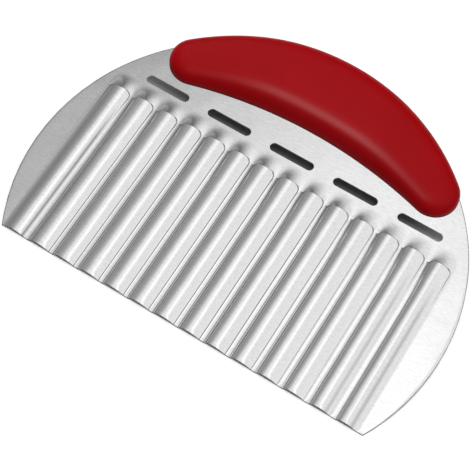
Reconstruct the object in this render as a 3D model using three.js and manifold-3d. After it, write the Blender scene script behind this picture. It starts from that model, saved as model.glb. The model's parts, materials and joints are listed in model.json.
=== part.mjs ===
// Crinkle cutter: a pressed steel blade with a wavy cutting edge, clamped between the two moulded
// shells of a crescent handle and locked there by pins through its tang.
//
// The pieces are drawn in the blade's own plane: X along the cutting edge, Y from the edge towards
// the handle, Z out of the front face, with Z = 0 in the middle of the flat sheet. The whole cutter
// is then laid on its back, resting on its cutting edge and on the handle. Millimetres, +Z up.

import * as THREE from 'three';
import { mergeVertices } from 'three/addons/utils/BufferGeometryUtils.js';
import Module from 'manifold-3d';

// Blade sheet
const EDGE_LENGTH = 150;
const BLADE_HEIGHT = 125;
const SHEET_THICKNESS = 0.8;
const GRIND_WIDTH = 1.6;
const GROUND_EDGE_THICKNESS = 0.3;

// Pressed ribs, counted along the cutting edge
const RIB_COUNT = 14;
const RIB_PITCH = 10.6;
const RIB_HEIGHT = 1.65;
const RIB_SHIFT = -0.9;
const VALLEY_RADIUS = 2.6;
const DOME_LENGTH = 3.4;
const DOME_SQUARENESS = 3;
const RIB_TO_SLOT = 11.2;

// Row of slots between the ribs and the handle
const SLOT_COUNT = 5;
const SLOT_PITCH = 27.3;
const SLOT_LENGTH = 18.5;
const SLOT_WIDTH = 3.7;
const SLOT_TO_HANDLE = 5.3;

// Handle: a crescent whose upper side follows the blade's round outline
const HANDLE_LENGTH = 123.6;
const HANDLE_DEPTH = 31.4;
const HANDLE_THICKNESS = 19.4;
const HANDLE_OVERHANG = 0.5;
const HANDLE_END_RADIUS = 9.1;
const EDGE_ROUND_WIDTH = 5.6;
const EDGE_ROUND_DEPTH = 8;
const RIM_WIDTH = 4.5;
const ROOF_THICKNESS = 2.5;

// Pins that lock the tang between the shells
const PIN_DIAMETER = 3;
const PIN_LENGTH = 12;
const PIN_SPACING = 36;
const BOSS_WALL = 2.4;

// Gap kept between pieces that sit against each other
const CLEARANCE = 0.3;

// How far cutters reach past what they cut, and how much of a wall a rounding may take
const BEYOND = 20;
const ROUND_LIMIT = 0.9;

// Fineness of the facets
const RIB_COLUMNS = 8;
const DOME_ROWS = 6;
const OUTLINE_SEGMENTS = 24;
const ROUND_STEPS = 5;
const PIN_SIDES = 24;

// The blade's outline is one circle cut off by the cutting edge, and the handle's top is concentric.
const bladeRadius = (EDGE_LENGTH ** 2 / 4 + BLADE_HEIGHT ** 2) / (2 * BLADE_HEIGHT);
const circleY = BLADE_HEIGHT - bladeRadius;
const handleRadius = bladeRadius + HANDLE_OVERHANG;

// Each round end of the handle touches the top arc from inside.
const endX = HANDLE_LENGTH / 2 - HANDLE_END_RADIUS;
const endY = circleY + Math.sqrt((handleRadius - HANDLE_END_RADIUS) ** 2 - endX ** 2);
const endAngle = Math.atan2(endY - circleY, endX);

// The underside is the arc through its middle that touches both round ends. A negative radius
// would be an underside that bulges towards the blade.
const undersideY = circleY + handleRadius - HANDLE_DEPTH;
const endRise = endY - undersideY;
const undersideRadius =
  (endX ** 2 + endRise ** 2 - HANDLE_END_RADIUS ** 2) / (2 * (HANDLE_END_RADIUS - endRise));
const undersideCentreY = undersideY - undersideRadius;

// The slots and then the ribs lie below the lowest part of the handle.
const handleLowY = Math.min(undersideY, endY - HANDLE_END_RADIUS);
const slotY = handleLowY - SLOT_TO_HANDLE;
const ribSpineEnd = slotY - RIB_TO_SLOT;
const handleHalf = HANDLE_THICKNESS / 2;
const roundWidth = Math.min(EDGE_ROUND_WIDTH, ROUND_LIMIT * HANDLE_END_RADIUS);
const roundDepth = Math.min(EDGE_ROUND_DEPTH, ROUND_LIMIT * handleHalf);
const roofZ = handleHalf - ROOF_THICKNESS;
const tangFaceZ = SHEET_THICKNESS / 2 + CLEARANCE;
const pinRadius = PIN_DIAMETER / 2;
const boreRadius = pinRadius + CLEARANCE;

const wasm = await Module();
wasm.setup();

function solidOf(geometry) {
  geometry.deleteAttribute('normal');
  geometry.deleteAttribute('uv');
  const merged = mergeVertices(geometry, 1e-5);
  const vertProperties = new Float32Array(merged.attributes.position.array);
  const triVerts = new Uint32Array(merged.index.array);
  return new wasm.Manifold(new wasm.Mesh({ numProp: 3, vertProperties, triVerts }));
}

function pieceOf(name, solid, material) {
  const { vertProperties, triVerts } = solid.getMesh();
  const geometry = new THREE.BufferGeometry();
  geometry.setAttribute('position', new THREE.BufferAttribute(vertProperties, 3));
  geometry.setIndex(new THREE.BufferAttribute(triVerts, 1));
  geometry.computeVertexNormals();
  const piece = new THREE.Mesh(geometry, material);
  piece.name = name;
  return piece;
}

// A prism of a shape that reaches equally far to both sides of the sheet's middle plane.
function prismOf(shape, halfDepth, curveSegments = OUTLINE_SEGMENTS) {
  const geometry = new THREE.ExtrudeGeometry(shape, {
    depth: 2 * halfDepth, bevelEnabled: false, curveSegments,
  });
  return solidOf(geometry.translate(0, 0, -halfDepth));
}

function rodOf(x, y, bottom, top, radius) {
  const geometry = new THREE.CylinderGeometry(radius, radius, top - bottom, PIN_SIDES);
  return solidOf(geometry.rotateX(Math.PI / 2).translate(x, y, (bottom + top) / 2));
}

// Height of the pressed sheet at a distance from a rib's spine: a round crest that meets a tighter
// round valley without a corner.
const flankSlope = 2 * Math.atan2(2 * RIB_HEIGHT, RIB_PITCH);
const crestRadius = RIB_PITCH / 2 / Math.sin(flankSlope) - VALLEY_RADIUS;
const crestHalfWidth = crestRadius * Math.sin(flankSlope);

function ribSection(distance) {
  if (distance >= RIB_PITCH / 2) return 0;
  if (distance <= crestHalfWidth) {
    return RIB_HEIGHT - crestRadius + Math.sqrt(crestRadius ** 2 - distance ** 2);
  }
  const fromValley = RIB_PITCH / 2 - distance;
  return VALLEY_RADIUS - Math.sqrt(VALLEY_RADIUS ** 2 - fromValley ** 2);
}

// Ribs run straight off the cutting edge and end in a short dome with rounded corners.
function sheetHeight(x, y) {
  const fromMiddle = Math.abs(x - RIB_SHIFT) / RIB_PITCH + (RIB_COUNT % 2) / 2;
  const rib = Math.floor(fromMiddle);
  if (rib >= Math.ceil(RIB_COUNT / 2)) return 0;
  const across = Math.abs(fromMiddle - rib - 0.5) * RIB_PITCH;
  const pastEnd = (Math.max(0, y - ribSpineEnd) * RIB_PITCH) / 2 / DOME_LENGTH;
  const powers = across ** DOME_SQUARENESS + pastEnd ** DOME_SQUARENESS;
  return ribSection(powers ** (1 / DOME_SQUARENESS));
}

function sheetSlope(x, y) {
  const step = 1e-3;
  return {
    alongX: (sheetHeight(x + step, y) - sheetHeight(x - step, y)) / (2 * step),
    alongY: (sheetHeight(x, y + step) - sheetHeight(x, y - step)) / (2 * step),
  };
}

// Grid lines of the sheet: close together across the ribs and over their domes.
function sheetLines() {
  const ribSpan = RIB_COUNT * RIB_PITCH;
  const columnCount = RIB_COUNT * RIB_COLUMNS;
  const columns = Array.from(
    { length: columnCount + 1 }, (_, i) => RIB_SHIFT + (i / columnCount - 0.5) * ribSpan,
  );
  const reach = bladeRadius + BEYOND;
  const domeRows = Array.from(
    { length: DOME_ROWS + 1 }, (_, i) => ribSpineEnd + (i / DOME_ROWS) * DOME_LENGTH,
  );
  return {
    columns: [-reach, ...columns, reach],
    rows: [0, GRIND_WIDTH, ...domeRows, BLADE_HEIGHT + BEYOND],
  };
}

// The pressed sheet before its outline is cut: a box whose faces follow the ribs at half a sheet's
// thickness to each side, thinned from behind along the cutting edge.
function pressedSheet() {
  const { columns, rows } = sheetLines();
  const columnCount = columns.length - 1;
  const rowCount = rows.length - 1;
  const geometry = new THREE.BoxGeometry(1, 1, 1, columnCount, rowCount, 1);
  const position = geometry.attributes.position;
  for (let i = 0; i < position.count; i += 1) {
    const x = columns[Math.round((position.getX(i) + 0.5) * columnCount)];
    const y = rows[Math.round((position.getY(i) + 0.5) * rowCount)];
    const backDepth = y > 0 ? SHEET_THICKNESS / 2 : GROUND_EDGE_THICKNESS - SHEET_THICKNESS / 2;
    const offset = position.getZ(i) > 0 ? SHEET_THICKNESS / 2 : -backDepth;
    const { alongX, alongY } = sheetSlope(x, y);
    const normalLength = Math.hypot(alongX, alongY, 1);
    position.setXYZ(
      i,
      x - (offset * alongX) / normalLength,
      y - (offset * alongY) / normalLength,
      sheetHeight(x, y) + offset / normalLength,
    );
  }
  return solidOf(geometry);
}

// Outline of the blade: round sides that leave the handle at its ends, and a narrower tang that
// ends inside the handle's rim. It is drawn a little past the cutting edge, where the sheet stops.
function bladeOutline(grow) {
  const endDistance = handleRadius - HANDLE_END_RADIUS;
  const cosine =
    (bladeRadius ** 2 + endDistance ** 2 - HANDLE_END_RADIUS ** 2) / (2 * bladeRadius * endDistance);
  const leaveAngle = endAngle - Math.acos(Math.min(1, cosine)) + grow / bladeRadius;
  const tangAngle = endAngle + grow / bladeRadius;
  const tangRadius = handleRadius - RIM_WIDTH - CLEARANCE + grow;
  const pastEdge = Math.asin(-circleY / bladeRadius) - GRIND_WIDTH / bladeRadius;
  const outline = new THREE.Shape();
  outline.absarc(0, circleY, bladeRadius + grow, pastEdge, leaveAngle, false);
  outline.absarc(0, circleY, tangRadius, tangAngle, Math.PI - tangAngle, false);
  outline.absarc(0, circleY, bladeRadius + grow, Math.PI - leaveAngle, Math.PI - pastEdge, false);
  outline.closePath();
  return outline;
}

function slotOutline(centreX) {
  const radius = SLOT_WIDTH / 2;
  const half = SLOT_LENGTH / 2 - radius;
  const outline = new THREE.Shape();
  outline.absarc(centreX + half, slotY, radius, -Math.PI / 2, Math.PI / 2, false);
  outline.absarc(centreX - half, slotY, radius, Math.PI / 2, (3 * Math.PI) / 2, false);
  outline.closePath();
  return outline;
}

// The crescent, drawn a given distance inside the handle's own outline.
function handleOutline(inset) {
  const endRadius = HANDLE_END_RADIUS - inset;
  const underside = undersideRadius + inset;
  const touch = Math.atan2(endY - undersideCentreY, endX);
  const hollow = undersideRadius > 0;
  const endStart = hollow ? touch - Math.PI : touch;
  const outline = new THREE.Shape();
  outline.absarc(0, circleY, handleRadius - inset, endAngle, Math.PI - endAngle, false);
  outline.absarc(-endX, endY, endRadius, Math.PI - endAngle, Math.PI - endStart, false);
  outline.absarc(0, undersideCentreY, Math.abs(underside), Math.PI - touch, touch, hollow);
  outline.absarc(endX, endY, endRadius, endStart, endAngle, false);
  outline.closePath();
  return outline;
}

// The whole handle as one body, with its front and back edges rounded as quarter ellipses.
function handleBody() {
  const straight = 2 * (handleHalf - roundDepth);
  const geometry = new THREE.ExtrudeGeometry(handleOutline(0), {
    depth: straight,
    bevelEnabled: true,
    bevelThickness: roundDepth,
    bevelSize: roundWidth,
    bevelOffset: -roundWidth,
    bevelSegments: ROUND_STEPS,
    curveSegments: OUTLINE_SEGMENTS / 2,
  });
  return solidOf(geometry.translate(0, 0, -straight / 2));
}

// Pins stand half way between the top arc and the underside.
function pinPlaces() {
  return [-1, 0, 1].map((side) => {
    const x = side * PIN_SPACING;
    const top = circleY + Math.sqrt(handleRadius ** 2 - x ** 2);
    const reach = Math.sqrt(undersideRadius ** 2 - x ** 2);
    const bottom = undersideCentreY + Math.sign(undersideRadius) * reach;
    return { x, y: (top + bottom) / 2 };
  });
}

function bladeSolid() {
  let blade = pressedSheet().intersect(prismOf(bladeOutline(0), BEYOND, 2 * OUTLINE_SEGMENTS));
  for (let i = 0; i < SLOT_COUNT; i += 1) {
    const centreX = (i - (SLOT_COUNT - 1) / 2) * SLOT_PITCH;
    blade = blade.subtract(prismOf(slotOutline(centreX), BEYOND, PIN_SIDES / 4));
  }
  for (const { x, y } of pinPlaces()) {
    blade = blade.subtract(rodOf(x, y, -BEYOND, BEYOND, boreRadius));
  }
  return blade;
}

// The front shell: half the handle's body, hollow behind a rim, with a boss for each pin and the
// rim cut back where the blade passes between the shells.
function frontShell() {
  const reach = HANDLE_LENGTH + BLADE_HEIGHT;
  const behind = new THREE.BoxGeometry(2 * reach, 2 * reach, reach);
  behind.translate(0, 0, (CLEARANCE - reach) / 2);
  let shell = handleBody().subtract(solidOf(behind));
  shell = shell.subtract(prismOf(handleOutline(RIM_WIDTH), roofZ, OUTLINE_SEGMENTS / 2));
  for (const { x, y } of pinPlaces()) {
    shell = shell.add(rodOf(x, y, tangFaceZ, roofZ + ROOF_THICKNESS / 2, boreRadius + BOSS_WALL));
  }
  for (const { x, y } of pinPlaces()) {
    shell = shell.subtract(rodOf(x, y, -BEYOND, PIN_LENGTH / 2 + CLEARANCE, boreRadius));
  }
  return shell.subtract(prismOf(bladeOutline(CLEARANCE), tangFaceZ, 2 * OUTLINE_SEGMENTS));
}

const brushedSteel = new THREE.MeshStandardMaterial({ color: 0xcfd1d2, metalness: 1, roughness: 0.3 });
const pinSteel = new THREE.MeshStandardMaterial({ color: 0xa9acae, metalness: 1, roughness: 0.4 });
const redPlastic = new THREE.MeshStandardMaterial({ color: 0x98131a, metalness: 0, roughness: 0.5 });

const lying = new THREE.Group();
lying.add(pieceOf('blade', bladeSolid(), brushedSteel));
lying.add(pieceOf('handle_front_shell', frontShell(), redPlastic));

// The shells are alike, and each is the same at both ends, so the back one is the front one turned.
const backShell = pieceOf('handle_back_shell', frontShell(), redPlastic);
backShell.rotation.y = Math.PI;
lying.add(backShell);

const pinNames = ['tang_pin_left', 'tang_pin_middle', 'tang_pin_right'];
pinPlaces().forEach(({ x, y }, i) => {
  lying.add(pieceOf(pinNames[i], rodOf(x, y, -PIN_LENGTH / 2, PIN_LENGTH / 2, pinRadius), pinSteel));
});

// Laid down, the cutter touches the surface along the top of the edge's grind and where the flat of
// the handle's back comes nearest to the edge.
const backFlatY = handleLowY + roundWidth;
lying.rotation.x = Math.atan2(handleHalf - SHEET_THICKNESS / 2, backFlatY - GRIND_WIDTH);
const box = new THREE.Box3().setFromObject(lying, true);
const centre = box.getCenter(new THREE.Vector3());
lying.position.set(-centre.x, -centre.y, -box.min.z);

const crinkleCutter = new THREE.Group();
crinkleCutter.add(lying);

export default crinkleCutter;
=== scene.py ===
# %% [markdown]
# # A crinkle cutter
# A crinkle cutter is one sheet of stainless steel, pressed into waves, with a moulded grip along its
# back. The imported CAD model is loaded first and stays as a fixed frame: it holds the true sizes, the
# mounts and the collision shapes. Blender then adds the looks, piece by piece, over that frame.
# The object could also be drawn from nothing, but then its size would be a guess made twice.

# %% Load the frame
import json
import math
import bpy
from mathutils import Matrix, Vector


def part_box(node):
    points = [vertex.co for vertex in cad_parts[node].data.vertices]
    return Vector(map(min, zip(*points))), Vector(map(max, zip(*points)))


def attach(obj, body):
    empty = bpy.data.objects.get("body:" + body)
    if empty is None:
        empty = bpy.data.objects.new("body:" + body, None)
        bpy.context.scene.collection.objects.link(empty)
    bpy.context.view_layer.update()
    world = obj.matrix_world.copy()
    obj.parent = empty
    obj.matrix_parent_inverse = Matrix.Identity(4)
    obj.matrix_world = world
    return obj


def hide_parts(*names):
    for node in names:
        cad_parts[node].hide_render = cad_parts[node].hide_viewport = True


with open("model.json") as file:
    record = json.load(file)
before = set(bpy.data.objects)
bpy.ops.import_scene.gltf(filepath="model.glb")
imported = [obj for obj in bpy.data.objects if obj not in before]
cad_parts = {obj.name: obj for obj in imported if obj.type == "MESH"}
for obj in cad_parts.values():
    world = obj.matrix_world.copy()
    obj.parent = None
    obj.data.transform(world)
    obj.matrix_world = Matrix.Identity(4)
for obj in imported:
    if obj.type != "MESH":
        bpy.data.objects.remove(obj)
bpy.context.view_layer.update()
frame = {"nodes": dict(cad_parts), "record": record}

print("CAD nodes:", ", ".join(sorted(frame["nodes"])))

# %% [markdown]
# ## The blade's own frame
# The cutter lies on its back, so nothing on it is square to the floor. It is far easier to draw it
# as a maker does, flat on the bench: x along the cutting edge, y from the edge to the handle, and z
# out of the front. Each finished piece is then laid down once. The tilt could be typed in, but the
# record's two mounts on the handle's flats already hold it, and so the scene follows the CAD.

# %% Find how the cutter lies
MM = 0.001
MOUNT_HEIGHT = 110 * MM
mounts = {mount["name"]: mount for mount in frame["record"]["mounts"]}
front_flat = mounts["handle_front_flat"]
back_flat = mounts["handle_back_flat"]
facing = Vector(front_flat["axis"])
tilt = math.atan2(-facing.y, facing.z)
between_flats = (Vector(front_flat["pos_m"]) + Vector(back_flat["pos_m"])) / 2
turned = Matrix.Rotation(tilt, 4, "X")
laid = Matrix.Translation(between_flats - turned @ Vector((0, MOUNT_HEIGHT, 0))) @ turned
print("lies tilted by", round(math.degrees(tilt), 2), "degrees")

# %% [markdown]
# ## The camera
# A product photograph of a flat tool is taken from above and in front, with a long lens, so that the
# edges stay nearly parallel. The camera could be set by eye. Here its place, aim, roll and lens were
# solved from the outline, slots and ribs in the photograph, and are given in the blade's own frame.

# %% Set the camera
CAMERA_PLACE = Vector((102.04, -172.64, 500.15)) * MM
CAMERA_AIM = Vector((-1.35, 41.85, 0)) * MM
CAMERA_ROLL = math.radians(6.0)
CAMERA_LENS = 116.62
PICTURE_SIZE = 470
half_pixel = 0.5 / PICTURE_SIZE

bpy.ops.object.select_all(action="DESELECT")
bpy.ops.object.camera_add()
camera = bpy.context.object
camera.data.lens = CAMERA_LENS
camera.data.shift_x = -half_pixel
camera.data.shift_y = half_pixel
aimed = (CAMERA_AIM - CAMERA_PLACE).to_track_quat("-Z", "Y").to_matrix().to_4x4()
rolled = Matrix.Rotation(CAMERA_ROLL, 4, "Z")
camera.matrix_world = laid @ Matrix.Translation(CAMERA_PLACE) @ aimed @ rolled
bpy.context.scene.camera = camera
print("camera at", [round(c, 3) for c in camera.matrix_world.translation])

# %% [markdown]
# ## Helpers for modelling
# Operators act on all that is selected, so each step first makes one object the only selected one.
# A modifier is added with its settings and applied at once, which leaves a plain mesh behind. Faces
# could be picked by number, but numbers change with each step, so a test of place and direction picks
# them.

# %% Helpers for selecting and applying
FACING = 0.9


def only(piece):
    bpy.ops.object.select_all(action="DESELECT")
    piece.select_set(True)
    bpy.context.view_layer.objects.active = piece


def apply_modifier(piece, kind, **settings):
    only(piece)
    modifier = piece.modifiers.new(kind, kind)
    for name, value in settings.items():
        setattr(modifier, name, value)
    bpy.ops.object.modifier_apply(modifier=modifier.name)


def select_faces(piece, test):
    bpy.ops.mesh.select_mode(type="FACE")
    bpy.ops.mesh.select_all(action="DESELECT")
    bpy.ops.object.mode_set(mode="OBJECT")
    for face in piece.data.polygons:
        face.select = test(face.center, face.normal)
    bpy.ops.object.mode_set(mode="EDIT")


def remove(*pieces):
    bpy.ops.object.select_all(action="DESELECT")
    for piece in pieces:
        piece.select_set(True)
    bpy.ops.object.delete()


print("helpers ready")

# %% [markdown]
# ## The pressed ribs
# On the real blade a press tool pushes fourteen ribs into flat sheet. Each rib has a broad round
# crest, drops over a short steep shoulder and meets its neighbour in a shallow valley. One rib could
# be extruded and copied, but its end would not join the flat sheet. So the sheet is one fine grid,
# and its height comes from the section of a rib: four arcs that follow one another without a corner,
# each given by its radius and by the slope at its end. A hollow arc has a negative radius.

# %% Section of a rib
RIB_COUNT = 14
RIB_PITCH = 10.6 * MM
RIB_SHIFT = -0.75 * MM
SHOULDER_RADIUS = 1.2 * MM
CORNER_RADIUS = 0.25 * MM
VALLEY_RADIUS = 3 * MM
CREST_SLOPE = math.radians(37)
SHOULDER_SLOPE = math.radians(46)
VALLEY_SLOPE = math.radians(16)

below_crest = (SHOULDER_RADIUS + CORNER_RADIUS) * math.sin(SHOULDER_SLOPE)
below_crest -= SHOULDER_RADIUS * math.sin(CREST_SLOPE)
below_crest += (VALLEY_RADIUS - CORNER_RADIUS) * math.sin(VALLEY_SLOPE)
crest_radius = (RIB_PITCH / 2 - below_crest) / math.sin(CREST_SLOPE)
bends = [
    (crest_radius, 0, CREST_SLOPE),
    (SHOULDER_RADIUS, CREST_SLOPE, SHOULDER_SLOPE),
    (-CORNER_RADIUS, SHOULDER_SLOPE, VALLEY_SLOPE),
    (-VALLEY_RADIUS, VALLEY_SLOPE, 0),
]
arcs = []
reached = Vector((0, 0))
for radius, start, end in bends:
    centre = reached - radius * Vector((math.sin(start), math.cos(start)))
    reached = centre + radius * Vector((math.sin(end), math.cos(end)))
    arcs.append((reached.x, centre, radius))
rib_height = -reached.y
foot = arcs[2][0]


def rib_section(distance):
    for end, centre, radius in arcs:
        if distance <= end:
            turn = (distance - centre.x) / radius
            return rib_height + centre.y + radius * math.sqrt(max(0, 1 - turn**2))
    return 0


print("ribs are", round(rib_height / MM, 2), "mm high, crest radius", round(crest_radius / MM, 2), "mm")

# %% [markdown]
# ## The left foot of a rib
# The press tool left more than a plain wave: the left foot of each rib is tucked in under its crest,
# which makes the valley beside it wide and bright. A second set of arcs could draw that foot. It is
# shorter to reuse the same section and stretch the distance from the crest, more and more towards
# the foot, and to let this fade before the rib ends.

# %% Tuck the left foot in
TUCK = 0.9 * MM
TUCK_START = 2.4 * MM
TUCK_RUN = 1.6 * MM
TUCK_END = 58 * MM
TUCK_FADE = 10 * MM


def eased(share):
    share = min(max(share, 0), 1)
    return share * share * (3 - 2 * share)


def tucked(distance, y):
    fade = 1 - eased((y - TUCK_END) / TUCK_FADE)
    return distance + TUCK * fade * eased((distance - TUCK_START) / TUCK_RUN)


print("left feet are tucked in by", round(TUCK / MM, 2), "mm")

# %% [markdown]
# ## The ends of the ribs
# Below the slots each rib ends squarely, with rounded corners and a steep end wall, as the punch left
# it, and its crest leans a little to the left. Beyond the wall the flat sheet was dragged up, and this
# soft swell fades out before the slots. The outer flanks of the first and last rib are soft as well,
# because no rib was pressed beside them. All of this could be sculpted by hand, but one function of
# the place on the sheet treats every rib alike.

# %% Height of the sheet
CREST_LEAN = 0.4 * MM
RIB_END = 71.2 * MM
END_CORNER = 2.2 * MM
END_STEEPNESS = 5
END_SOFTNESS = 0.1 * MM
SWELL = 0.85 * MM
SWELL_LENGTH = 6.6 * MM
SWELL_POWER = 1.5


def sheet_height(x, y):
    pitches = abs(x - RIB_SHIFT) / RIB_PITCH
    if pitches >= RIB_COUNT / 2:
        return 0
    side = math.copysign(1, x - RIB_SHIFT)
    from_spine = side * (pitches % 1 - 0.5) * RIB_PITCH
    lean = CREST_LEAN * (1 - (2 * from_spine / RIB_PITCH) ** 2)
    place = from_spine + lean
    outside = pitches > (RIB_COUNT - 1) / 2 and place * side > 0
    across = abs(place) if outside or place > 0 else tucked(-place, y)
    wave = math.cos(math.pi * min(across / RIB_PITCH, 0.5)) ** 2
    rib = rib_height * wave if outside else rib_section(across)
    in_corner = min(max(across - foot + END_CORNER, 0), END_CORNER)
    end_line = RIB_END - END_CORNER + math.sqrt(END_CORNER**2 - in_corner**2)
    wall = eased((y - end_line) / (rib / END_STEEPNESS + END_SOFTNESS))
    fade = min(max(1 - (y - RIB_END) / SWELL_LENGTH, 0), 1)
    swell = SWELL * fade**SWELL_POWER * wave
    return rib + (min(swell, rib) - rib) * wall


print("ribs end", RIB_END / MM, "mm above the cutting edge")

# %% [markdown]
# ## The lines of the grid
# A grid shows a curve well only where its lines lie close. It could be cut evenly fine, but that
# takes many times the faces. So the lines across each rib are spaced by equal turns of its arcs and
# crowd together at its feet. Along the blade they are far apart on the straight ribs and a ninth of a
# millimetre apart over the end walls. Outside the ribs a few lines fan out to the blade's round
# outline, and the tang steps in where the handle hides it.

# %% Lines across the blade
BEND_STEPS = (10, 2, 4, 3)
rib_span = RIB_COUNT * RIB_PITCH / 2


def spaced(start, end, steps):
    return [start + (end - start) * k / steps for k in range(steps)]


half_rib = []
for (radius, start, end), (_, centre, _), steps in zip(bends, arcs, BEND_STEPS):
    half_rib += [centre.x + radius * math.sin(turn) for turn in spaced(start, end, steps)]
half_rib.append(RIB_PITCH / 2)


def untucked(distance):
    low, high = 0, distance
    for _ in range(30):
        middle = (low + high) / 2
        low, high = (middle, high) if tucked(middle, 0) < distance else (low, middle)
    return high


one_rib = [-RIB_PITCH / 2] + [-untucked(d) for d in half_rib[:0:-1]] + half_rib[:-1]
spines = [RIB_SHIFT + (rib + 0.5 - RIB_COUNT / 2) * RIB_PITCH for rib in range(RIB_COUNT)]
columns = [spine + d for spine in spines for d in one_rib]
columns.append(RIB_SHIFT + rib_span)
print(len(columns), "lines across the ribs")

# %% Lines along the blade
GRIND_WIDTH = 1.6 * MM
STRAIGHT_START = 4 * MM
PLATE_START = 78 * MM
SHOULDER_HEIGHT = 99.4 * MM
SHOULDER_STEP = 0.1 * MM
TANG_START = 102 * MM
TANG_TOP = 118 * MM
WALL_LENGTH = 1.2 * MM
corner_start = RIB_END - END_CORNER
wall_foot = RIB_END + WALL_LENGTH

rows = [0, GRIND_WIDTH]
rows += spaced(STRAIGHT_START, corner_start, 10)
rows += spaced(corner_start, wall_foot, 30)
rows += spaced(wall_foot, PLATE_START, 11)
rows += spaced(PLATE_START, SHOULDER_HEIGHT, 8)
rows += [SHOULDER_HEIGHT, SHOULDER_HEIGHT + SHOULDER_STEP]
rows += spaced(TANG_START, TANG_TOP, 5) + [TANG_TOP]
print(len(rows), "lines along the blade")

# %% Round outline of the blade
EDGE_LENGTH = 150 * MM
BLADE_HEIGHT = 125 * MM
TANG_RADIUS = 80.7 * MM
LEAST_MARGIN = 0.3 * MM
SQUEEZE = 3 * MM
MARGIN_STEPS = 8
blade_radius = (EDGE_LENGTH**2 / 4 + BLADE_HEIGHT**2) / (2 * BLADE_HEIGHT)
circle_height = BLADE_HEIGHT - blade_radius


def half_width(y):
    radius = TANG_RADIUS if y > SHOULDER_HEIGHT else blade_radius
    return math.sqrt(radius**2 - (y - circle_height) ** 2)


def grid_place(column, row):
    y = rows[row]
    edge = half_width(y)
    inner = min(max(column - MARGIN_STEPS, 0), len(columns) - 1)
    beyond = abs(column - MARGIN_STEPS - inner)
    x = columns[inner]
    side = math.copysign(1, x)
    room = edge - LEAST_MARGIN
    if y > PLATE_START:
        x *= min(1, room / abs(columns[0]))
    elif abs(x) > room - SQUEEZE:
        share = (abs(x) - room + SQUEEZE) / (abs(columns[0]) - room + SQUEEZE)
        x = side * (room - SQUEEZE + SQUEEZE * min(share, 1)) if abs(columns[0]) > room else x
    return x + (side * edge - x) * beyond / MARGIN_STEPS, y


print("blade is part of a disc of radius", round(blade_radius / MM, 2), "mm")

# %% Press the sheet
SHEET_THICKNESS = 0.8 * MM
across_steps = len(columns) - 1 + 2 * MARGIN_STEPS
along_steps = len(rows) - 1
bpy.ops.object.select_all(action="DESELECT")
bpy.ops.mesh.primitive_grid_add(x_subdivisions=across_steps, y_subdivisions=along_steps, size=1)
blade = bpy.context.object
blade.name = "ribbed_blade"
for vertex in blade.data.vertices:
    column = round((vertex.co.x + 0.5) * across_steps)
    row = round((vertex.co.y + 0.5) * along_steps)
    x, y = grid_place(column, row)
    vertex.co = (x, y, sheet_height(x, y) + SHEET_THICKNESS / 2)
print("pressed a sheet of", len(blade.data.polygons), "faces")

# %% [markdown]
# ## Thickness and the ground edge
# The sheet is 0.8 mm steel. Solidify would keep that thickness square to the surface, but in the
# tight corners at the foot of a rib the back would then cross itself. Extruding the whole sheet
# straight down can't do that, and it thins the steep walls a little, as pressing does. A real cutter
# is ground along its edge from behind, so the last row of the back is moved forwards until the edge
# is thin. A small bevel breaks the sharp rims, which catch the light.

# %% Thicken, grind and break the rims
GROUND_EDGE_THICKNESS = 0.3 * MM
RIM_BREAK = 0.08 * MM
RIM_ANGLE = math.radians(75)

only(blade)
bpy.ops.object.mode_set(mode="EDIT")
bpy.ops.mesh.select_all(action="SELECT")
bpy.ops.mesh.extrude_region_move(TRANSFORM_OT_translate={"value": (0, 0, -SHEET_THICKNESS)})
bpy.ops.mesh.select_all(action="SELECT")
bpy.ops.mesh.normals_make_consistent(inside=False)
bpy.ops.object.mode_set(mode="OBJECT")
for vertex in blade.data.vertices:
    behind = vertex.co.z < sheet_height(vertex.co.x, 0)
    if vertex.co.y < GRIND_WIDTH / 2 and behind:
        vertex.co.z += SHEET_THICKNESS - GROUND_EDGE_THICKNESS
apply_modifier(
    blade, "BEVEL", width=RIM_BREAK, segments=2, limit_method="ANGLE", angle_limit=RIM_ANGLE
)
print("thick blade has", len(blade.data.polygons), "faces")

# %% [markdown]
# ## The slots
# Five long slots are punched through the plate below the handle. A cutter is modelled once, from a
# box whose upright edges are beveled round and whose ends are flared step by step along a quarter
# circle. A straight cutter would do for the hole, but the flare leaves the small round rim that a
# punch draws into the sheet. The cutter is copied to each place, and one Boolean cuts them all, with
# the hidden holes for the tang's pins.

# %% Model one slot cutter
SLOT_COUNT = 5
SLOT_PITCH = 27.3 * MM
SLOT_LENGTH = 18.5 * MM
SLOT_WIDTH = 3.5 * MM
SLOT_HEIGHT = 80.85 * MM
SLOT_SHIFT = -0.35 * MM
SLOT_END_STEPS = 10
ALMOST_HALF = 0.4999
RIM_RADIUS = 0.12 * MM
RIM_TURNS = (0, 22, 44, 62, 76)
CUTTER_REACH = 4 * MM
rim_start = SHEET_THICKNESS / 2 - RIM_RADIUS

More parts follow.
